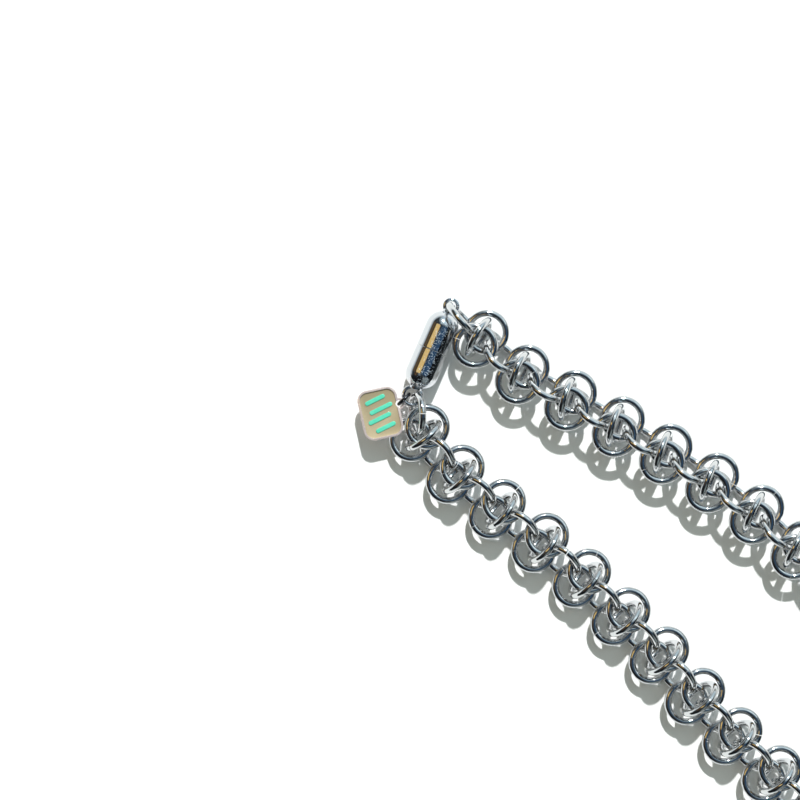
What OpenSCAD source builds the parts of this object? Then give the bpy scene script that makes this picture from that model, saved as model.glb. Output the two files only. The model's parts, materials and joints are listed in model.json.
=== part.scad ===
/* [Chain] */
// Thickness of the wire in every chain ring
wire_d = 1.8; // [1.6:0.05:1.8]
// Radius of every chain ring, to the middle of its wire
ring_r = 4.85; // [4.85:0.05:4.9]
// Number of repeat units, each two large rings with a cross ring through both
units = 31; // [31:1:31]

/* [Clasp] */
// Diameter of the capsule
capsule_d = 8.2; // [8:0.1:8.3]
// Length of the capsule over both halves
capsule_l = 20.8; // [20:0.1:21]
// Seam between the two halves
seam_gap = 0.1; // [0.05:0.01:0.2]
// Radius of the upper half's eye, to the middle of its wire
upper_eye_r = 1.7; // [1.65:0.05:1.7]
// Radius of the lower half's eye, which also carries the charm
lower_eye_r = 2.3; // [2.25:0.05:2.3]
// Thickness of the eyes' wire
eye_d = 1; // [0.9:0.05:1]

/* [Charm] */
// Width of the charm plate
charm_w = 10; // [9:0.5:10]
// Length of the charm plate
charm_l = 12.6; // [12:0.2:13]
// Thickness of the charm plate
charm_t = 1; // [0.8:0.1:1]
// Radius of the plate's corners
charm_corner = 2.6; // [2:0.1:3]
// Width of the plate's raised rim
rim_w = 0.55; // [0.4:0.05:0.7]
// Depth of the plate's field below its rim
field_depth = 0.3; // [0.2:0.05:0.4]
// Radius of the charm's jump ring, to the middle of its wire
hoop_r = 1.8; // [1.75:0.05:1.8]
// Thickness of the jump ring's wire
hoop_d = 0.9; // [0.8:0.05:0.9]

/* [Hidden] */

// Middle of the whole piece on the surface, from which the route below is measured
loop_mid = [95.837, -8.055];

// The chain's route, seen from above: out from the clasp, round the far end and back
ROUTE = [[7.04, 9.65], [20, 9.1], [33.2, 11.3], [46.8, 13.5], [60.5, 15.5], [74.5, 17], [88, 17.6],
         [102, 17], [120, 16.6], [139, 18.6], [155, 20.6], [171, 19.6], [184.8, 11.4], [191.6, -4],
         [189.7, -20], [179.9, -32], [164, -36.8], [148, -35], [132, -31.4], [118.5, -30], [105, -28],
         [91.5, -25.4], [77.5, -23.6], [63.5, -22], [49.5, -21.4], [36, -21.4], [22.9, -21], [9.4, -18.4]];
SPAN_STEPS = 24;
last = units - 1;

// Where the rings of a unit sit. Rows: on the first strand, round the far end and on the returning strand,
// then in the first and the last unit, which the clasp crowds.
// Columns: sideways from the route, height of the centre, roll about the route
OUTER = [[2.1, 4.66, 3.4], [2.29, 4.78, 6.1], [2.46, 3.87, 2.8],
         [2.12, 4.78, 3.8], [2.43, 3.8, 2.3]];
INNER = [[-2.4, 6.3, 4], [-2.37, 6.6, -1.3], [-2.55, 6.17, 7.75],
         [-2.33, 6.74, 1.3], [-2.53, 6.02, 5]];
// Ring that joins a unit to the next, with the same rows and columns
JOINT = [[-0.05, 5.3, -61.3], [0.46, 5.41, -59.25], [-0.03, 5.13, -58.1],
         [-0.15, 5.38, -58.5], [0.1, 5.04, -56]];
// Cross ring of a unit, with the same rows. Columns: along the route, sideways, lean from upright, turn
CROSS = [[-0.83, -0.3, 17, 12], [-0.65, -0.14, 13, 7.35], [-0.9, -0.38, 14.6, 0.3],
         [-0.65, -0.21, 12.5, 9.7], [-0.81, -0.44, 14.6, 0]];
// Units over which the chain passes from the first strand's lie to the returning one's
ROLL_FROM = 9;
ROLL_TO = 20;
// Units between which they crowd together round the far end, and by how much
CROWD_FROM = 10;
CROWD_TO = 20;
crowding = 0.05;
// Directions of the first and last unit, turned by the clasp's end rings
FIRST_YAW = -3.66;
LAST_YAW = 166.9;

// Ring that joins each end of the chain to its clasp eye.
// Columns: place, roll, yaw
END_UPPER = [[0.56, 10.58, 5.69], -80.4, -9.6];
END_LOWER = [[6, -15.07, 5.54], -73, 129.1];

// Clasp: middle of the capsule and its direction, from the lower eye to the upper
CLASP_AT = [-0.85, -0.1, capsule_d / 2];
CLASP_YAW = 104.5;
// From the capsule's end to the middle of each half's eye, and the collar that the eye is soldered to
upper_eye_reach = 1.6;
lower_eye_reach = 2;
collar_d = 3.2;
collar_out = 0.3;

// Charm: middle of the plate, its turn on the surface, and its eyelet from the plate's middle
CHARM_AT = [-1.27, -20.51, 4.99];
CHARM_YAW = 50.5;
EYELET_AT = [5.07, 1.42];
eyelet_r = 1.45;
eyelet_hole_r = 0.85;
eyelet_t = 0.6;
// Jump ring of the charm. Columns: place, roll, yaw
HOOP = [[1.11, -14.06, 4.72], 90.8, 81.6];

// Enamel bars. Columns: place on the plate, length
BARS = [[[-0.6, 3.6], 5.4], [[0.4, 1.2], 6.2], [[-0.4, -1.2], 6.2], [[0.6, -3.6], 5.4]];
bar_w = 1.1;
bar_turn = 14;
bar_t = 0.2;

function mix(a, b, t) = a + (b - a) * t;
function clamp01(t) = min(1, max(0, t));
function flat3(p, z = 0) = [p[0], p[1], z];
function heading(v) = atan2(v[1], v[0]);

// Smooth curve through the route's points
function route_point(k) = ROUTE[min(len(ROUTE) - 1, max(0, k))];
function curve(k, t) =
    let (a = route_point(k - 1), b = route_point(k), c = route_point(k + 1), d = route_point(k + 2))
    b + (c - a) * t / 2 + (2 * a - 5 * b + 4 * c - d) * t * t / 2 + (3 * b - a - 3 * c + d) * t * t * t / 2;
TRACK = [for (k = [0 : len(ROUTE) - 2], j = [0 : SPAN_STEPS - 1]) curve(k, j / SPAN_STEPS),
         ROUTE[len(ROUTE) - 1]];
HOPS = [for (i = [0 : len(TRACK) - 1]) i == 0 ? 0 : norm(TRACK[i] - TRACK[i - 1])];
RUN = [for (i = 0, s = 0; i < len(TRACK); i = i + 1, s = s + (i < len(TRACK) ? HOPS[i] : 0)) s];
RUN_X = [for (i = [0 : len(TRACK) - 1]) [RUN[i], TRACK[i][0]]];
RUN_Y = [for (i = [0 : len(TRACK) - 1]) [RUN[i], TRACK[i][1]]];
route_l = RUN[len(RUN) - 1];

// Units crowd together where the route turns, because the outer rings there reach further
function turn_at(i) = clamp01(min(i - CROWD_FROM, CROWD_TO - i) / 2);
SPACING = [for (i = [0 : last - 1]) 1 - crowding * turn_at(i)];
REACH = [for (i = 0, s = 0; i <= last; s = s + (i < last ? SPACING[i] : 0), i = i + 1) s];
pitch = route_l / REACH[last];

// Place and direction of a repeat unit, counted from the upper end of the clasp
function unit_at(i) = [lookup(REACH[i] * pitch, RUN_X), lookup(REACH[i] * pitch, RUN_Y)];
function unit_yaw(i) =
    i == 0 ? FIRST_YAW : i == last ? LAST_YAW : heading(unit_at(i + 1) - unit_at(i - 1));
function lie(i) = clamp01((i - ROLL_FROM) / (ROLL_TO - ROLL_FROM));
function settle(rows, i) = mix(mix(rows[0], rows[2], lie(i)), rows[1], turn_at(i));

// Row of a unit, where the first and the last have their own
function row_of(rows, i) = i == 0 ? rows[3] : i == last ? rows[4] : settle(rows, i);
function beside(at, yaw, along, side) =
    at + [along * cos(yaw) - side * sin(yaw), along * sin(yaw) + side * cos(yaw)];

// A ring is its place, its turn and its radius to the middle of the wire
function flat_ring(rows, i) =
    let (s = row_of(rows, i), yaw = unit_yaw(i))
    [flat3(beside(unit_at(i), yaw, 0, s[0]), s[1]), [s[2], 0, yaw], ring_r];
function cross_ring(i) =
    let (s = row_of(CROSS, i), yaw = unit_yaw(i))
    [flat3(beside(unit_at(i), yaw, s[0], s[1]), ring_r * cos(s[2]) + wire_d / 2),
     [0, 90 - s[2], yaw + s[3]], ring_r];
function joint_row(i) = i == 0 ? JOINT[3] : i == last - 1 ? JOINT[4] : settle(JOINT, i + 0.5);
function joint_ring(i) =
    let (s = joint_row(i), a = unit_at(i), b = unit_at(i + 1), yaw = heading(b - a))
    [flat3(beside((a + b) / 2, yaw, 0, s[0]), s[1]), [s[2], 0, yaw], ring_r];
function unit_rings(i) = [flat_ring(OUTER, i), flat_ring(INNER, i), cross_ring(i)];
function end_ring(row) = [row[0], [row[1], 0, row[2]], ring_r];

// Moves a piece from the route's start to the middle of the whole
module placed() {
    translate(-flat3(loop_mid))
        children();
}

module ring(row, d = wire_d) {
    translate(row[0])
        rotate(row[1])
            rotate_extrude($fn = 72)
                translate([row[2], 0])
                    circle(d = d, $fn = 24);
}

// Repeat units from one to another, each with the ring that joins it to the next
module strand(first, final) {
    for (i = [first : final]) {
        for (row = unit_rings(i))
            ring(row);
        if (i < last)
            ring(joint_ring(i));
    }
}

module chain_upper() {
    color("silver")
        placed()
            strand(0, floor(last / 2));
}

module chain_lower() {
    color("silver")
        placed()
            strand(floor(last / 2) + 1, last);
}

// One half of the capsule, standing on its flat face, with its collar and soldered eye
module clasp_half(eye_r, eye_reach) {
    half_l = (capsule_l - seam_gap) / 2;
    dome_r = capsule_d / 2;
    translate([0, 0, seam_gap / 2])
        rotate_extrude($fn = 96) {
            square([dome_r, half_l - dome_r]);
            intersection() {
                translate([0, half_l - dome_r])
                    circle(r = dome_r, $fn = 96);
                translate([0, half_l - dome_r])
                    square([dome_r, dome_r]);
            }
        }
    translate([0, 0, half_l / 2])
        cylinder(d = collar_d, h = capsule_l / 2 + collar_out - half_l / 2, $fn = 48);
    translate([0, 0, capsule_l / 2 + eye_reach])
        rotate([0, 90, 0])
            rotate_extrude($fn = 48)
                translate([eye_r, 0])
                    circle(d = eye_d, $fn = 24);
}

// Lays a clasp half along the capsule's line, with its eye flat
module lay_clasp(turn, eye_r, eye_reach) {
    translate(CLASP_AT)
        rotate([0, 0, CLASP_YAW + turn])
            rotate([0, 90, 0])
                clasp_half(eye_r, eye_reach);
}

module clasp_half_upper() {
    color("gainsboro")
        placed()
            lay_clasp(0, upper_eye_r, upper_eye_reach);
}

module clasp_half_lower() {
    color("gainsboro")
        placed()
            lay_clasp(180, lower_eye_r, lower_eye_reach);
}

module end_ring_upper() {
    color("silver")
        placed()
            ring(end_ring(END_UPPER));
}

module end_ring_lower() {
    color("silver")
        placed()
            ring(end_ring(END_LOWER));
}

module charm_ring() {
    color("dimgray")
        placed()
            ring([HOOP[0], [HOOP[1], 0, HOOP[2]], hoop_r], hoop_d);
}

module rounded(w, l, r) {
    square([w - 2 * r, l], center = true);
    square([w, l - 2 * r], center = true);
    for (x = [-1, 1], y = [-1, 1])
        translate([x * (w / 2 - r), y * (l / 2 - r)])
            circle(r = r, $fn = 48);
}

module on_charm() {
    placed()
        translate(CHARM_AT)
            rotate([0, 0, CHARM_YAW])
                children();
}

module charm_plate() {
    color("tan")
        on_charm()
            difference() {
                union() {
                    linear_extrude(charm_t)
                        rounded(charm_w, charm_l, charm_corner);
                    translate(EYELET_AT)
                        cylinder(r = eyelet_r, h = eyelet_t, $fn = 48);
                }
                translate([0, 0, charm_t - field_depth])
                    linear_extrude(charm_t)
                        rounded(charm_w - 2 * rim_w, charm_l - 2 * rim_w, charm_corner - rim_w);
                translate([EYELET_AT[0], EYELET_AT[1], -1])
                    cylinder(r = eyelet_hole_r, h = charm_t + 2, $fn = 48);
            }
}

module bar(length) {
    square([length - bar_w, bar_w], center = true);
    for (x = [-1, 1])
        translate([x * (length - bar_w) / 2, 0])
            circle(d = bar_w, $fn = 32);
}

module charm_enamel() {
    color("mediumaquamarine")
        on_charm()
            for (row = BARS)
                translate([row[0][0], row[0][1], charm_t - field_depth])
                    rotate([0, 0, bar_turn])
                        linear_extrude(bar_t)
                            bar(row[1]);
}

chain_upper();
chain_lower();
clasp_half_upper();
clasp_half_lower();
end_ring_upper();
end_ring_lower();
charm_ring();
charm_plate();
charm_enamel();
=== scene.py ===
"""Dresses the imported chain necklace: round steel wire rings, a polished capsule clasp and a tag charm.

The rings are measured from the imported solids, so every wire lies exactly where its solid does.
Lengths are in metres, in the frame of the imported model; sizes named _mm are in millimetres.
"""

from __future__ import annotations

import json
import logging
import math
import random
from dataclasses import dataclass, field
from enum import Enum
from typing import Any, Iterable, Sequence

import bmesh
import bpy
import numpy as np
from mathutils import Matrix, Vector

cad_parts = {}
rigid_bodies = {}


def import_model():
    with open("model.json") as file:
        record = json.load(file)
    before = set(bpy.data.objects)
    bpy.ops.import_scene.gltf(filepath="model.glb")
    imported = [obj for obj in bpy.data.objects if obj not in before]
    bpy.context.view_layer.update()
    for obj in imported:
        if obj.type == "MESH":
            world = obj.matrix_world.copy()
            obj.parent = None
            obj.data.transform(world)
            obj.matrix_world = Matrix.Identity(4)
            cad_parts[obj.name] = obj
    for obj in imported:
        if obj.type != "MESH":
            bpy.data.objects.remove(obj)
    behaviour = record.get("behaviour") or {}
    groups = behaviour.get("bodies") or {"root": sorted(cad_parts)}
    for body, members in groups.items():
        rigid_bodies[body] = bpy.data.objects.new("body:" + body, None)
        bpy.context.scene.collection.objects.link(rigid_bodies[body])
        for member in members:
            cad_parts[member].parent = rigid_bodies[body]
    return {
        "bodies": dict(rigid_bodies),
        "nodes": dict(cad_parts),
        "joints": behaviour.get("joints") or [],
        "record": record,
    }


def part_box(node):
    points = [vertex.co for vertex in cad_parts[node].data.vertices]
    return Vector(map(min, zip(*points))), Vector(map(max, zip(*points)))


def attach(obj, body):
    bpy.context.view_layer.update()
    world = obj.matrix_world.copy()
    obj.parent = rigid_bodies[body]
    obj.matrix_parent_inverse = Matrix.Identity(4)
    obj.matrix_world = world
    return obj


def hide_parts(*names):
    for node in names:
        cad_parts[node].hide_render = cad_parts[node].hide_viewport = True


LOG = logging.getLogger("necklace")
MM = 0.001
MERGE_M = 2e-6

# The photograph's frame: the place in its middle, its width on the table, and its turn
VIEW_MIDDLE_MM = (-95.344, -6.785, 4.0)
VIEW_WIDTH_MM = 200.0
VIEW_TURN_DEG = 38.0


def linear(code: str) -> tuple[float, float, float, float]:
    """Turns an sRGB hex colour into linear colour.

    Args:
        code: the colour as "#rrggbb".

    Returns:
        Linear red, green, blue and an alpha of one.
    """
    parts = [int(code[i:i + 2], 16) / 255 for i in (1, 3, 5)]
    return (*(c / 12.92 if c <= 0.04045 else ((c + 0.055) / 1.055) ** 2.4 for c in parts), 1.0)


def add_node(tree: bpy.types.NodeTree, kind: str, settings: dict[str, Any] | None = None,
             links: dict[str, bpy.types.NodeSocket] | None = None) -> bpy.types.Node:
    """Adds one node with its settings and links.

    Args:
        tree: the node tree that takes it.
        kind: the node's type name.
        settings: values by attribute name or by input socket name.
        links: output sockets by the name, or the number, of the input that they feed.

    Returns:
        The new node.
    """
    node = tree.nodes.new(kind)
    for name, value in (settings or {}).items():
        if hasattr(node, name):
            setattr(node, name, value)
        else:
            node.inputs[int(name) if name.isdigit() else name].default_value = value
    for name, socket in (links or {}).items():
        tree.links.new(socket, node.inputs[int(name) if name.isdigit() else name])
    return node


class Turn(Enum):
    """Directions in the photograph, along the surface, in the model's frame."""

    RIGHT = math.radians(VIEW_TURN_DEG)
    TOP = math.radians(VIEW_TURN_DEG + 90)
    LEFT = math.radians(VIEW_TURN_DEG + 180)
    BOTTOM = math.radians(VIEW_TURN_DEG + 270)

    def towards(self, elevation_deg: float, aside_deg: float = 0.0) -> Vector:
        """Gives the unit vector that points this way.

        Args:
            elevation_deg: how high it points above the table.
            aside_deg: how far it is turned aside, counterclockwise seen from above.

        Returns:
            The unit vector.
        """
        turn = self.value + math.radians(aside_deg)
        rise = math.radians(elevation_deg)
        return Vector((math.cos(turn) * math.cos(rise), math.sin(turn) * math.cos(rise), math.sin(rise)))


# Finishes

@dataclass(frozen=True)
class PolishedSteel:
    """Stainless steel, drawn or deep-drawn, tumbled and polished.

    To the eye it is nearly a mirror. Soft waves from bending bend what it reflects, patches of fine grain
    blur it here and there, and the capsule carries pale specks of dried drops.
    """

    name: str
    tint: str = "#d3d4d5"
    smooth: float = 0.04
    rough: float = 0.1
    wave_mm: float = 1.4
    wave_depth_mm: float = 0.06
    grain_mm: float = 0.35
    grain_depth_mm: float = 0.0015
    speck_mm: float = 0.0
    speck_tint: str = "#dcecf8"
    speck_side: tuple[float, float, float] = (0.968, 0.25, 0.0)
    speck_middle_mm: float = 0.0
    speck_band_mm: tuple[float, float] = (1.3, 2.2)
    speck_size: tuple[float, float] = (0.14, 0.34)
    speck_outside: float = 0.3
    speck_film: float = 0.7
    speck_patch: float = 5.0
    speck_patch_span: tuple[float, float] = (0.35, 0.6)
    grain_span: tuple[float, float] = (0.35, 0.65)

    def material(self) -> bpy.types.Material:
        """Builds the material.

        Returns:
            The node material.
        """
        material = bpy.data.materials.new(self.name)
        material.use_nodes = True
        tree = material.node_tree
        shader = tree.nodes["Principled BSDF"]
        shader.inputs["Metallic"].default_value = 1.0
        shader.inputs["Base Color"].default_value = linear(self.tint)
        place = add_node(tree, "ShaderNodeTexCoord")
        if self.speck_mm:
            self.add_specks(tree, place.outputs["Object"])
        waves = add_node(tree, "ShaderNodeTexNoise",
                         {"Scale": 1 / (self.wave_mm * MM), "Detail": 1.0},
                         {"Vector": place.outputs["Object"]})
        # Tumbling grain is finer than a pixel of the render, so it is drawn as coarse as it needs to show
        grain = add_node(tree, "ShaderNodeTexNoise",
                         {"Scale": 1 / (self.grain_mm * MM), "Detail": 3.0},
                         {"Vector": place.outputs["Object"]})
        patches = add_node(tree, "ShaderNodeMapRange",
                           {"From Min": self.grain_span[0], "From Max": self.grain_span[1],
                            "To Min": self.smooth, "To Max": self.rough},
                           {"Value": grain.outputs["Fac"]})
        tree.links.new(patches.outputs["Result"], shader.inputs["Roughness"])
        bent = add_node(tree, "ShaderNodeBump", {"Distance": self.wave_depth_mm * MM},
                        {"Height": waves.outputs["Fac"]})
        worn = add_node(tree, "ShaderNodeBump", {"Distance": self.grain_depth_mm * MM},
                        {"Height": grain.outputs["Fac"], "Normal": bent.outputs["Normal"]})
        tree.links.new(worn.outputs["Normal"], shader.inputs["Normal"])
        return material

    def add_specks(self, tree: bpy.types.NodeTree, place: bpy.types.NodeSocket) -> None:
        """Adds the pale specks that dried drops leave on a mirror finish, most of them in one long band.

        Args:
            tree: the material's node tree.
            place: the coordinates that the specks are laid on.
        """
        shader = tree.nodes["Principled BSDF"]
        cells = add_node(tree, "ShaderNodeTexVoronoi",
                         {"Scale": 1 / (self.speck_mm * MM)}, {"Vector": place})
        patches = add_node(tree, "ShaderNodeTexNoise",
                           {"Scale": 1 / (self.speck_patch * self.speck_mm * MM)}, {"Vector": place})
        reach = add_node(tree, "ShaderNodeMapRange",
                         {"From Min": self.speck_patch_span[0], "From Max": self.speck_patch_span[1],
                          "To Min": self.speck_size[0], "To Max": self.speck_size[1]},
                         {"Value": patches.outputs["Fac"]})
        across = add_node(tree, "ShaderNodeVectorMath",
                          {"operation": "DOT_PRODUCT", "1": self.speck_side}, {"0": place})
        aside = add_node(tree, "ShaderNodeMath",
                         {"operation": "SUBTRACT", "1": self.speck_middle_mm * MM},
                         {"0": across.outputs["Value"]})
        far = add_node(tree, "ShaderNodeMath", {"operation": "ABSOLUTE"}, {"0": aside.outputs["Value"]})
        side = add_node(tree, "ShaderNodeMapRange",
                        {"From Min": self.speck_band_mm[0] * MM, "From Max": self.speck_band_mm[1] * MM,
                         "To Min": 1.0, "To Max": self.speck_outside},
                        {"Value": far.outputs["Value"]})
        share = add_node(tree, "ShaderNodeMath", {"operation": "MULTIPLY"},
                         {"0": reach.outputs["Result"], "1": side.outputs["Result"]})
        speck = add_node(tree, "ShaderNodeMath", {"operation": "LESS_THAN"},
                         {"0": cells.outputs["Distance"], "1": share.outputs["Value"]})
        film = add_node(tree, "ShaderNodeMath", {"operation": "MULTIPLY", "1": self.speck_film},
                        {"0": speck.outputs["Value"]})
        colour = add_node(tree, "ShaderNodeMix",
                          {"data_type": "RGBA", "6": linear(self.tint), "7": linear(self.speck_tint)},
                          {"0": speck.outputs["Value"]})
        metal = add_node(tree, "ShaderNodeMath", {"operation": "SUBTRACT", "0": 1.0},
                         {"1": film.outputs["Value"]})
        tree.links.new(colour.outputs[2], shader.inputs["Base Color"])
        tree.links.new(metal.outputs["Value"], shader.inputs["Metallic"])


@dataclass(frozen=True)
class CharmMetal:
    """Die-struck plated alloy: a satin tan field, or the rim, polished after plating and tinted paler as a
    painted highlight.

    The field looks matt and slightly mottled. The rim's pale tint is painted light: it stands in for the
    thin pale line of light that its polished edge catches.
    """

    name: str
    tint: str
    shade: str
    metal: float
    smooth: float
    rough: float
    grain_mm: float = 0.3
    grain_depth_mm: float = 0.01
    grain_share: float = 0.6

    def material(self) -> bpy.types.Material:
        """Builds the material.

        Returns:
            The node material.
        """
        material = bpy.data.materials.new(self.name)
        material.use_nodes = True
        tree = material.node_tree
        shader = tree.nodes["Principled BSDF"]
        shader.inputs["Metallic"].default_value = self.metal
        place = add_node(tree, "ShaderNodeTexCoord")
        grain = add_node(tree, "ShaderNodeTexNoise", {"Scale": 1 / (self.grain_mm * MM), "Detail": 4.0},
                         {"Vector": place.outputs["Object"]})
        colour = add_node(tree, "ShaderNodeMix",
                          {"data_type": "RGBA", "6": linear(self.tint), "7": linear(self.shade)},
                          {"0": grain.outputs["Fac"]})
        tree.links.new(colour.outputs[2], shader.inputs["Base Color"])
        patches = add_node(tree, "ShaderNodeMapRange",
                           {"To Min": self.smooth, "To Max": self.rough},
                           {"Value": grain.outputs["Fac"]})
        tree.links.new(patches.outputs["Result"], shader.inputs["Roughness"])
        bump = add_node(tree, "ShaderNodeBump",
                        {"Distance": self.grain_depth_mm * MM, "Strength": self.grain_share},
                        {"Height": grain.outputs["Fac"]})
        tree.links.new(bump.outputs["Normal"], shader.inputs["Normal"])
        return material


@dataclass(frozen=True)
class MintEnamel:
    """Soft enamel poured into the bars: glossy, slightly crowned, a little uneven in depth of colour.

    The gloss comes from a thin clear coat over an evenly coloured body.
    """

    name: str = "mint_enamel"
    light: str = "#6cdabb"
    deep: str = "#44c19f"
    pool_mm: float = 1.2
    rough: float = 0.22
    coat: float = 0.5
    coat_rough: float = 0.08

    def material(self) -> bpy.types.Material:
        """Builds the material.

        Returns:
            The node material.
        """
        material = bpy.data.materials.new(self.name)
        material.use_nodes = True
        tree = material.node_tree
        shader = tree.nodes["Principled BSDF"]
        shader.inputs["Roughness"].default_value = self.rough
        shader.inputs["Coat Weight"].default_value = self.coat
        shader.inputs["Coat Roughness"].default_value = self.coat_rough
        place = add_node(tree, "ShaderNodeTexCoord")
        pool = add_node(tree, "ShaderNodeTexNoise", {"Scale": 1 / (self.pool_mm * MM), "Detail": 2.0},
                        {"Vector": place.outputs["Object"]})
        colour = add_node(tree, "ShaderNodeMix",
                          {"data_type": "RGBA", "6": linear(self.light), "7": linear(self.deep)},
                          {"0": pool.outputs["Fac"]})
        tree.links.new(colour.outputs[2], shader.inputs["Base Color"])
        return material


@dataclass(frozen=True)
class MattBoard:
    """White matt board under the necklace: it takes clean shadows and shows no gloss."""

    name: str = "white_matt_board"
    tint: str = "#f2f3f2"
    rough: float = 0.9
    specular: float = 0.1

    def material(self) -> bpy.types.Material:
        """Builds the material.

        Returns:
            The node material.
        """
        material = bpy.data.materials.new(self.name)
        material.use_nodes = True
        shader = material.node_tree.nodes["Principled BSDF"]
        shader.inputs["Base Color"].default_value = linear(self.tint)
        shader.inputs["Roughness"].default_value = self.rough
        shader.inputs["Specular IOR Level"].default_value = self.specular
        return material


@dataclass
class Finishes:
    """The finishes of every piece, built once."""

    wire: bpy.types.Material = field(
        default_factory=lambda: PolishedSteel("polished_steel_wire").material())
    capsule: bpy.types.Material = field(default_factory=lambda: PolishedSteel(
        "mirror_polished_capsule", tint="#d2d4d8", smooth=0.03, rough=0.08, wave_mm=3.0,
        wave_depth_mm=0.006, grain_mm=0.4, grain_depth_mm=0.002,
        speck_mm=0.28, speck_middle_mm=-91.2).material())
    # The charm's jump ring is given a dark tint
    dark: bpy.types.Material = field(default_factory=lambda: PolishedSteel(
        "dark_tinted_wire", tint="#56575c", smooth=0.1, rough=0.2).material())
    charm_field: bpy.types.Material = field(default_factory=lambda: CharmMetal(
        "satin_tan_plating", "#bdae8e", "#a69a7a", metal=0.35, smooth=0.35, rough=0.5).material())
    # The rim's near-white tint is a painted highlight for the light that its polished edge catches
    charm_rim_painted_highlight: bpy.types.Material = field(default_factory=lambda: CharmMetal(
        "rim_plating_painted_highlight", "#f2e6e2", "#dfccc6", metal=0.55, smooth=0.2, rough=0.32).material())
    enamel: bpy.types.Material = field(default_factory=lambda: MintEnamel().material())


# Wire rings

@dataclass(frozen=True)
class WireRing:
    """A round wire ring: its middle, its axis, its radius to mid wire, and the wire's own radius."""

    middle: Vector
    axis: Vector
    radius: float
    wire: float


def measure_rings(solid: bpy.types.Object) -> list[WireRing]:
    """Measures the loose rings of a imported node.

    Args:
        solid: the node's object, which is left as it is.

    Returns:
        One ring for each loose part, in the order of their middles along X.
    """
    bm = bmesh.new()
    bm.from_mesh(solid.data)
    bmesh.ops.remove_doubles(bm, verts=bm.verts, dist=MERGE_M)
    bm.verts.ensure_lookup_table()
    waiting, rings = set(bm.verts), []
    # Read in the mesh's own order, because a set's order differs from run to run
    for first in bm.verts:
        if first not in waiting:
            continue
        waiting.discard(first)
        front, part = [first], []
        while front:
            vert = front.pop()
            part.append(vert.co[:])
            for link in vert.link_edges:
                other = link.other_vert(vert)
                if other in waiting:
                    waiting.discard(other)
                    front.append(other)
        points = np.array(part)
        frame = np.linalg.svd(points - points.mean(axis=0), full_matrices=False)[2]
        local = points @ frame.T
        centre = (local.max(axis=0) + local.min(axis=0)) / 2
        reach = np.hypot(*(local - centre)[:, :2].T)
        # The fit may give either end of the axis, so the one that points up is kept
        axis = Vector(frame[2]).normalized()
        rings.append(WireRing(Vector(centre @ frame), axis if axis.z > 0 else -axis,
                              float(reach.max() + reach.min()) / 2, float(reach.max() - reach.min()) / 2))
    bm.free()
    return sorted(rings, key=lambda ring: (round(ring.middle.x, 5), ring.middle.z))


@dataclass
class WireWork:
    """Wire rings bent round a rod and sawn apart, so each closes on a fine butt joint."""

    arc_steps: int = 64
    wire_steps: int = 14
    saw_cut_mm: float = 0.13
    spring_mm: float = 0.03
    seed: int = 11
    chance: random.Random = field(init=False)

    def __post_init__(self) -> None:
        """Starts the seeded chance that places the saw cuts."""
        self.chance = random.Random(self.seed)

    def bend(self, ring: WireRing) -> bmesh.types.BMesh:
        """Bends one ring.

        Args:
            ring: where the ring lies and how large it is.

        Returns:
            The ring's mesh, in place.
        """
        bm = bmesh.new()
        lay = Matrix.Translation((ring.radius, 0, 0)) @ Matrix.Rotation(math.pi / 2, 4, "X")
        bmesh.ops.create_circle(bm, segments=self.wire_steps, radius=ring.wire, matrix=lay)
        turn = math.tau - self.saw_cut_mm * MM / ring.radius
        lift = Vector((0, 0, self.spring_mm * MM / self.arc_steps))
        bmesh.ops.spin(bm, geom=bm.verts[:] + bm.edges[:], cent=(0, 0, 0), axis=(0, 0, 1), dvec=lift,
                       angle=turn, steps=self.arc_steps, use_merge=False, use_duplicate=False)
        ends = [edge for edge in bm.edges if edge.is_boundary]
        bmesh.ops.holes_fill(bm, edges=ends, sides=self.wire_steps)
        bmesh.ops.translate(bm, verts=bm.verts, vec=(0, 0, -self.spring_mm * MM / 2))
        bmesh.ops.recalc_face_normals(bm, faces=bm.faces)
        for face in bm.faces:
            face.smooth = len(face.verts) == 4
        for edge in ends:
            edge.smooth = False
        place = ring.axis.to_track_quat("Z", "Y").to_matrix().to_4x4()
        saw = Matrix.Rotation(self.chance.uniform(0, math.tau), 4, "Z")
        bmesh.ops.transform(bm, matrix=Matrix.Translation(ring.middle) @ place @ saw, verts=bm.verts)
        return bm

    def piece(self, name: str, rings: Iterable[WireRing], material: bpy.types.Material) -> bpy.types.Object:
        """Bends several rings as one piece.

        Args:
            name: the piece's name.
            rings: the rings in it.
            material: their finish.

        Returns:
            The piece, at the origin.
        """
        whole = bmesh.new()
        for ring in rings:
            bent = self.bend(ring)
            spare = bpy.data.meshes.new("spare")
            bent.to_mesh(spare)
            bent.free()
            whole.from_mesh(spare)
            bpy.data.meshes.remove(spare)
        return place_mesh(name, whole, [material])


def place_mesh(name: str, bm: bmesh.types.BMesh,
               materials: Sequence[bpy.types.Material]) -> bpy.types.Object:
    """Turns a finished bmesh into a piece at the origin.

    Args:
        name: the piece's name.
        bm: its mesh, which is freed.
        materials: its finishes, by material index.

    Returns:
        The new object.
    """
    mesh = bpy.data.meshes.new(name)
    bm.to_mesh(mesh)
    bm.free()
    for material in materials:
        mesh.materials.append(material)
    piece = bpy.data.objects.new(name, mesh)
    bpy.context.scene.collection.objects.link(piece)
    return piece


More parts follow.
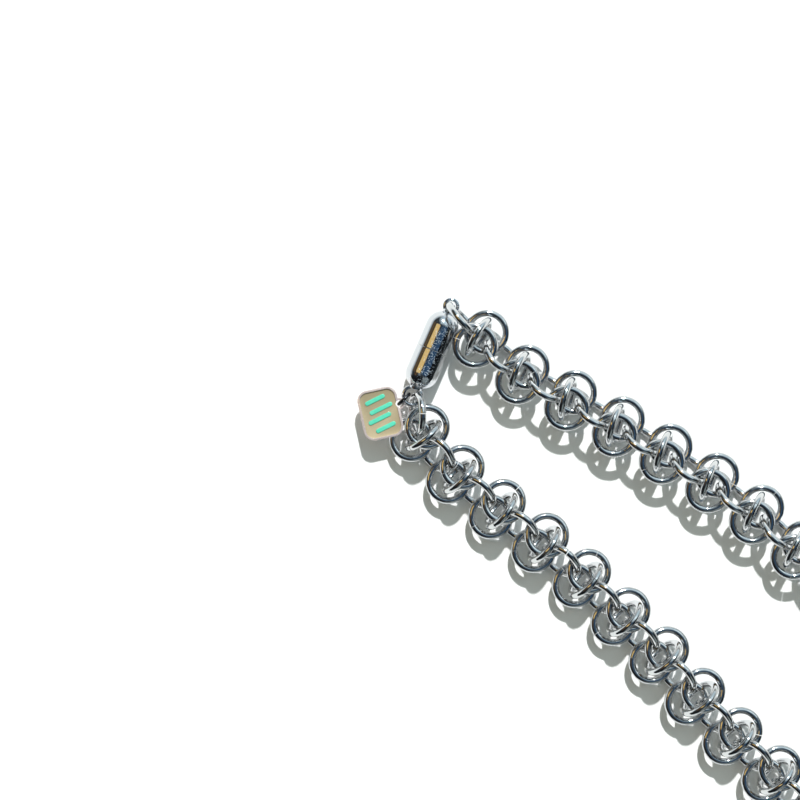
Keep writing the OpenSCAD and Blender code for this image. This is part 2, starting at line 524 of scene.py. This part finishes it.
@dataclass
class RingChain:
    """The two strands of interlocked rings, the rings at their ends and the charm's jump ring."""

    finishes: Finishes
    nodes: dict[str, bpy.types.Object]
    work: WireWork = field(default_factory=WireWork)

    def build(self) -> list[bpy.types.Object]:
        """Builds every wire ring.

        Returns:
            The pieces.
        """
        plan = [("chain_upper", "wire_strand_upper", "chain_steel", self.finishes.wire),
                ("chain_lower", "wire_strand_lower", "chain_steel", self.finishes.wire),
                ("end_ring_upper", "wire_end_ring_upper", "chain_steel", self.finishes.wire),
                ("end_ring_lower", "wire_end_ring_lower", "chain_steel", self.finishes.wire),
                ("charm_ring", "wire_jump_ring", "dark_ring", self.finishes.dark)]
        pieces = []
        for node, name, slot, material in plan:
            rings = measure_rings(self.nodes[node])
            piece = self.work.piece(name, rings, material)
            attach(piece, "root")
            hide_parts(node)
            LOG.info("%s: %d rings, %d faces", name, len(rings), len(piece.data.polygons))
            pieces.append(piece)
        return pieces


# Clasp

@dataclass
class CapsuleClasp:
    """Capsule clasp in two halves that meet on a fine seam, each with a collar and a soldered eye."""

    finishes: Finishes
    middle_mm: tuple[float, float, float] = (-96.687, 7.955, 4.1)
    turn_deg: float = 104.5
    width_mm: float = 8.2
    length_mm: float = 20.8
    seam_mm: float = 0.1
    lip_mm: float = 0.06
    round_steps: int = 96
    crease_deg: float = 35.0
    support_loops_mm: tuple[float, float] = (0.25, 0.8)
    collar_mm: float = 3.2
    collar_long_mm: float = 2.4
    collar_out_mm: float = 0.3
    collar_edge_mm: float = 0.12
    upper_eye_mm: float = 1.7
    upper_reach_mm: float = 1.6
    lower_eye_mm: float = 2.3
    lower_reach_mm: float = 2.0
    eye_wire_mm: float = 0.5

    def shell(self) -> bmesh.types.BMesh:
        """Shapes one half's shell, standing on its seam along Z.

        Returns:
            The shell.
        """
        radius, half = self.width_mm * MM / 2, (self.length_mm - self.seam_mm) * MM / 2
        bm = bmesh.new()
        bmesh.ops.create_uvsphere(bm, u_segments=self.round_steps, v_segments=self.round_steps // 2,
                                  radius=radius)
        bmesh.ops.bisect_plane(bm, geom=bm.verts[:] + bm.edges[:] + bm.faces[:], dist=1e-7,
                               plane_co=(0, 0, 0), plane_no=(0, 0, 1), clear_inner=True)
        rim = [edge for edge in bm.edges if edge.is_boundary]
        wall = bmesh.ops.extrude_edge_only(bm, edges=rim)["geom"]
        down = [part for part in wall if isinstance(part, bmesh.types.BMVert)]
        bmesh.ops.translate(bm, verts=down, vec=(0, 0, radius - half))
        foot = [edge for edge in bm.edges if edge.is_boundary]
        bmesh.ops.holes_fill(bm, edges=foot, sides=0)
        bmesh.ops.bevel(bm, geom=foot, offset=self.lip_mm * MM, segments=4, profile=0.5,
                        affect="EDGES", material=-1)
        bmesh.ops.translate(bm, verts=bm.verts, vec=(0, 0, half - radius + self.seam_mm * MM / 2))
        # Without these loops the long wall faces beside the lip would bend the reflections
        for above_seam_mm in self.support_loops_mm:
            bmesh.ops.bisect_plane(bm, geom=bm.verts[:] + bm.edges[:] + bm.faces[:], dist=1e-7,
                                   plane_co=(0, 0, above_seam_mm * MM), plane_no=(0, 0, 1))
        return bm

    def half(self, name: str, node: str, turn_deg: float, eye_mm: float,
             reach_mm: float) -> bpy.types.Object:
        """Builds one half with its collar and eye.

        Args:
            name: the piece's name.
            node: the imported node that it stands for.
            turn_deg: 0 for the upper half, 180 for the lower.
            eye_mm: the eye's radius, to the middle of its wire.
            reach_mm: from the capsule's end to the middle of the eye.

        Returns:
            The piece.
        """
        bm = self.shell()
        end = self.length_mm * MM / 2
        collar = Matrix.Translation((0, 0, end + (self.collar_out_mm - self.collar_long_mm / 2) * MM))
        made = bmesh.ops.create_cone(bm, cap_ends=True, segments=self.round_steps // 2,
                                     radius1=self.collar_mm * MM / 2,
                                     radius2=self.collar_mm * MM / 2, depth=self.collar_long_mm * MM,
                                     matrix=collar)
        top = [edge for edge in dict.fromkeys(e for v in made["verts"] for e in v.link_edges)
               if all(vert.co.z > end for vert in edge.verts) and len(edge.link_faces) == 2]
        bmesh.ops.bevel(bm, geom=top, offset=self.collar_edge_mm * MM, segments=3, profile=0.5,
                        affect="EDGES", material=-1)
        eye = WireRing(Vector((0, 0, end + reach_mm * MM)), Vector((1, 0, 0)), eye_mm * MM,
                       self.eye_wire_mm * MM)
        ring = WireWork(arc_steps=56, wire_steps=16, saw_cut_mm=0.05, spring_mm=0.0).bend(eye)
        spare = bpy.data.meshes.new("spare")
        ring.to_mesh(spare)
        ring.free()
        for face in bm.faces:
            face.smooth = True
        for edge in bm.edges:
            edge.smooth = (len(edge.link_faces) < 2
                           or edge.calc_face_angle(0.0) < math.radians(self.crease_deg))
        bm.from_mesh(spare)
        bpy.data.meshes.remove(spare)
        lay = (Matrix.Translation(Vector(self.middle_mm) * MM)
               @ Matrix.Rotation(math.radians(self.turn_deg + turn_deg), 4, "Z")
               @ Matrix.Rotation(math.pi / 2, 4, "Y"))
        bmesh.ops.transform(bm, matrix=lay, verts=bm.verts)
        bmesh.ops.recalc_face_normals(bm, faces=bm.faces)
        piece = place_mesh(name, bm, [self.finishes.capsule])
        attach(piece, "root")
        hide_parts(node)
        LOG.info("%s: %d faces", name, len(piece.data.polygons))
        return piece

    def build(self) -> list[bpy.types.Object]:
        """Builds both halves.

        Returns:
            The pieces.
        """
        return [self.half("capsule_half_upper", "clasp_half_upper", 0,
                          self.upper_eye_mm, self.upper_reach_mm),
                self.half("capsule_half_lower", "clasp_half_lower", 180,
                          self.lower_eye_mm, self.lower_reach_mm)]


# Charm

@dataclass
class TagCharm:
    """Tag charm: a struck plate with a polished rim and an eyelet, and enamel bars on its satin field."""

    finishes: Finishes
    nodes: dict[str, bpy.types.Object]
    edge_mm: float = 0.09
    crown_mm: float = 0.13
    field_drop_mm: float = 0.3
    foot_mm: float = 0.05
    slack_mm: float = 0.02
    level_mm: float = 0.06
    least_field_m2: float = 1e-5
    coplanar_deg: float = 1.0
    corner_deg: float = 50.0
    crease_deg: float = 40.0
    facing_up: float = 0.9

    def softened(self, node: str, offset_mm: float, segments: int,
                 only_above: float) -> bmesh.types.BMesh:
        """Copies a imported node's mesh as clean faces and rounds its edges.

        Args:
            node: the node that is copied and left as it is.
            offset_mm: how far the rounding reaches.
            segments: steps of the rounding.
            only_above: only edges with both ends above this height are rounded.

        Returns:
            The copy.
        """
        bm = bmesh.new()
        bm.from_mesh(self.nodes[node].data)
        bmesh.ops.remove_doubles(bm, verts=bm.verts, dist=MERGE_M)
        bmesh.ops.dissolve_limit(bm, angle_limit=math.radians(self.coplanar_deg), verts=bm.verts,
                                  edges=bm.edges)
        sharp = [edge for edge in bm.edges if len(edge.link_faces) == 2
                 and edge.calc_face_angle(0.0) > math.radians(self.corner_deg)
                 and min(vert.co.z for vert in edge.verts) > only_above]
        bmesh.ops.bevel(bm, geom=sharp, offset=offset_mm * MM, segments=segments, profile=0.5,
                        affect="EDGES", clamp_overlap=True, material=-1)
        for face in bm.faces:
            face.smooth = True
        for edge in bm.edges:
            edge.smooth = (len(edge.link_faces) < 2
                           or edge.calc_face_angle(0.0) < math.radians(self.crease_deg))
        return bm

    def build(self) -> list[bpy.types.Object]:
        """Builds the plate and its enamel.

        Returns:
            The pieces.
        """
        low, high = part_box("charm_plate")
        bm = self.softened("charm_plate", self.edge_mm, 3, low[2] - 1)
        floor = high[2] - (self.field_drop_mm + self.slack_mm) * MM
        for face in bm.faces:
            at_floor = face.calc_center_median().z < floor + self.level_mm * MM
            is_field = face.normal.z > self.facing_up and at_floor and face.calc_area() > self.least_field_m2
            face.material_index = 0 if is_field else 1
        # Faces off the field take the rim finish, whose pale tint is a painted highlight
        plate = place_mesh("struck_plate", bm, [self.finishes.charm_field, self.finishes.charm_rim_painted_highlight])
        bars_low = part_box("charm_enamel")[0][2]
        crowned = self.softened("charm_enamel", self.crown_mm, 4, bars_low + self.foot_mm * MM)
        bars = place_mesh("enamel_bars", crowned, [self.finishes.enamel])
        for piece, node, slot in ((plate, "charm_plate", "charm_metal"),
                                  (bars, "charm_enamel", "charm_enamel")):
            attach(piece, "root")
            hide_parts(node)
            LOG.info("%s: %d faces", piece.name, len(piece.data.polygons))
        return [plate, bars]


# Studio

@dataclass(frozen=True)
class SkyPatch:
    """A soft round patch of the surroundings that the polished steel reflects."""

    aim: Vector
    inner_deg: float
    outer_deg: float
    colour: str
    strength: float


@dataclass
class Studio:
    """A white table in low sun, under a dim sky with pale sides, a blue strip and a warm strip."""

    sun_elevation_deg: float = 46.0
    sun_aside_deg: float = -8.0
    sun_strength: float = 4.15
    sun_size_deg: float = 2.0
    fill_strength: float = 0.5
    fill_size_deg: float = 120.0
    fill_colour: str = "#f6fff0"
    lens_mm: float = 85.0
    sensor_mm: float = 36.0
    clip_start_m: float = 0.01
    floor_side_m: float = 4.0
    dome: tuple[tuple[float, str], ...] = (
        (0.0, "#eff6f8"), (0.13, "#dfe8ea"), (0.3, "#3e4346"), (0.5, "#34393c"), (0.8, "#3c4246"),
        (1.0, "#40474c"))

    def floor(self) -> None:
        """Lays the white table top."""
        bm = bmesh.new()
        bmesh.ops.create_grid(bm, x_segments=1, y_segments=1, size=self.floor_side_m / 2)
        table = place_mesh("table_top", bm, [MattBoard().material()])

    def sky(self, patches: Sequence[SkyPatch]) -> None:
        """Paints the surroundings by direction.

        Args:
            patches: the patches laid over the plain dome, in order.
        """
        world = bpy.data.worlds.new("studio")
        bpy.context.scene.world = world
        world.use_nodes = True
        tree = world.node_tree
        way = add_node(tree, "ShaderNodeTexCoord")
        height = add_node(tree, "ShaderNodeSeparateXYZ", links={"Vector": way.outputs["Generated"]})
        by_height = add_node(tree, "ShaderNodeValToRGB", links={"Fac": height.outputs["Z"]})
        ramp = by_height.color_ramp
        while len(ramp.elements) < len(self.dome):
            ramp.elements.new(0.5)
        for element, (at, colour) in zip(ramp.elements, self.dome):
            element.position = at
            element.color = linear(colour)
        colour_so_far = by_height.outputs["Color"]
        for patch in patches:
            facing = add_node(tree, "ShaderNodeVectorMath", {"operation": "DOT_PRODUCT", "1": patch.aim},
                              {"0": way.outputs["Generated"]})
            edge = add_node(tree, "ShaderNodeMapRange",
                            {"interpolation_type": "SMOOTHSTEP",
                             "From Min": math.cos(math.radians(patch.outer_deg)),
                             "From Max": math.cos(math.radians(patch.inner_deg))},
                            {"Value": facing.outputs["Value"]})
            shade = tuple(c * patch.strength for c in linear(patch.colour)[:3]) + (1.0,)
            mixed = add_node(tree, "ShaderNodeMix", {"data_type": "RGBA", "7": shade},
                             {"0": edge.outputs["Result"], "6": colour_so_far})
            colour_so_far = mixed.outputs[2]
        tree.links.new(colour_so_far, tree.nodes["Background"].inputs["Color"])

    def lamp(self, name: str, aim: Vector, strength: float, size_deg: float,
             colour: str) -> bpy.types.Object:
        """Hangs one lamp as far away as the sun.

        Args:
            name: the lamp's name.
            aim: the direction that it shines from.
            strength: its strength.
            size_deg: how wide it is in the sky.
            colour: its colour as "#rrggbb".

        Returns:
            The lamp.
        """
        data = bpy.data.lights.new(name, "SUN")
        data.energy = strength
        data.angle = math.radians(size_deg)
        data.color = linear(colour)[:3]
        lamp = bpy.data.objects.new(name, data)
        lamp.rotation_euler = aim.to_track_quat("Z", "Y").to_euler()
        bpy.context.scene.collection.objects.link(lamp)
        return lamp

    def lights(self) -> None:
        """Hangs the low sun beyond the photograph's top edge, and the soft light that fills its shadows."""
        sun_aim = Turn.TOP.towards(self.sun_elevation_deg, self.sun_aside_deg)
        self.lamp("low_sun", sun_aim, self.sun_strength, self.sun_size_deg, "#ffffff")
        fill = self.lamp("soft_fill", Vector((0, 0, 1)), self.fill_strength, self.fill_size_deg,
                         self.fill_colour)
        fill.visible_glossy = False

    def camera(self) -> None:
        """Places the camera straight above, turned as the photograph is."""
        data = bpy.data.cameras.new("overhead")
        data.lens = self.lens_mm
        data.sensor_width = self.sensor_mm
        data.clip_start = self.clip_start_m
        camera = bpy.data.objects.new("overhead", data)
        away = VIEW_WIDTH_MM * MM * self.lens_mm / self.sensor_mm
        camera.location = Vector(VIEW_MIDDLE_MM) * MM + Vector((0, 0, away))
        camera.rotation_euler = (0, 0, math.radians(VIEW_TURN_DEG))
        bpy.context.scene.collection.objects.link(camera)
        bpy.context.scene.camera = camera

    def surroundings(self) -> list[SkyPatch]:
        """Lists what the polished steel reflects, the later over the earlier.

        Returns:
            The patches.
        """
        blue_strip = [SkyPatch(Turn.RIGHT.towards(rise, -24), 6, 12, "#50749a", 0.52)
                      for rise in (60, 70, 80)]
        warm_strip = [SkyPatch(Turn.LEFT.towards(rise, -24), 6, 9, "#cdae70", 1.55)
                      for rise in (51, 57, 63, 69)]
        return [
            # The dim low corner beyond the lower right
            SkyPatch(Turn.RIGHT.towards(3, -45), 25, 45, "#1f2426", 1.0),
            # The dim low side beyond the lower left
            SkyPatch(Turn.LEFT.towards(10, 35), 16, 38, "#1d2022", 1.0),
            # The dim side that the lower dome faces
            SkyPatch(Turn.BOTTOM.towards(40, -28), 12, 34, "#1a1b1e", 1.0),
            # A pale spot above the bottom edge
            SkyPatch(Turn.BOTTOM.towards(32, 25), 5, 30, "#8a9494", 1.0),
            # The pale sky beyond the top edge
            SkyPatch(Turn.TOP.towards(38, -28), 8, 46, "#bccfd8", 1.3),
            # The dark side that the capsule's right flank faces
            SkyPatch(Turn.RIGHT.towards(38, -24), 10, 20, "#16181b", 1.0),
            # The dark gap below the warm strip
            SkyPatch(Turn.LEFT.towards(42, -24), 5, 10, "#2a211a", 1.0),
            # The dark gap above it
            SkyPatch(Turn.LEFT.towards(78, -24), 4, 9, "#2f3d4c", 1.0),
            # The dark spot overhead
            SkyPatch(Turn.TOP.towards(90), 4, 9, "#2f3d4c", 1.0),
            *blue_strip,
            # The brown fringe round the warm strip
            SkyPatch(Turn.LEFT.towards(45, 2), 4, 16, "#5e4428", 1.0),
            SkyPatch(Turn.LEFT.towards(28, -26), 5, 14, "#64543f", 1.0),
            *warm_strip,
            # The small bright opening on the right
            SkyPatch(Turn.RIGHT.towards(45, 32), 4, 13, "#e8fbff", 1.4)]

    def build(self) -> None:
        """Sets up the table, the surroundings, the lights and the camera."""
        bpy.context.scene.view_settings.view_transform = "Standard"
        self.floor()
        self.sky(self.surroundings())
        self.lights()
        self.camera()


def main(frame: dict[str, Any]) -> None:
    """Builds every piece in order.
    """
    logging.basicConfig(level=logging.INFO, format="%(name)s: %(message)s")
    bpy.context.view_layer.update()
    Studio().build()
    finishes = Finishes()
    nodes = frame["nodes"]
    RingChain(finishes, nodes).build()
    CapsuleClasp(finishes).build()
    TagCharm(finishes, nodes).build()
    LOG.info("sizes written")


if __name__ == "__main__":
    main(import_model())
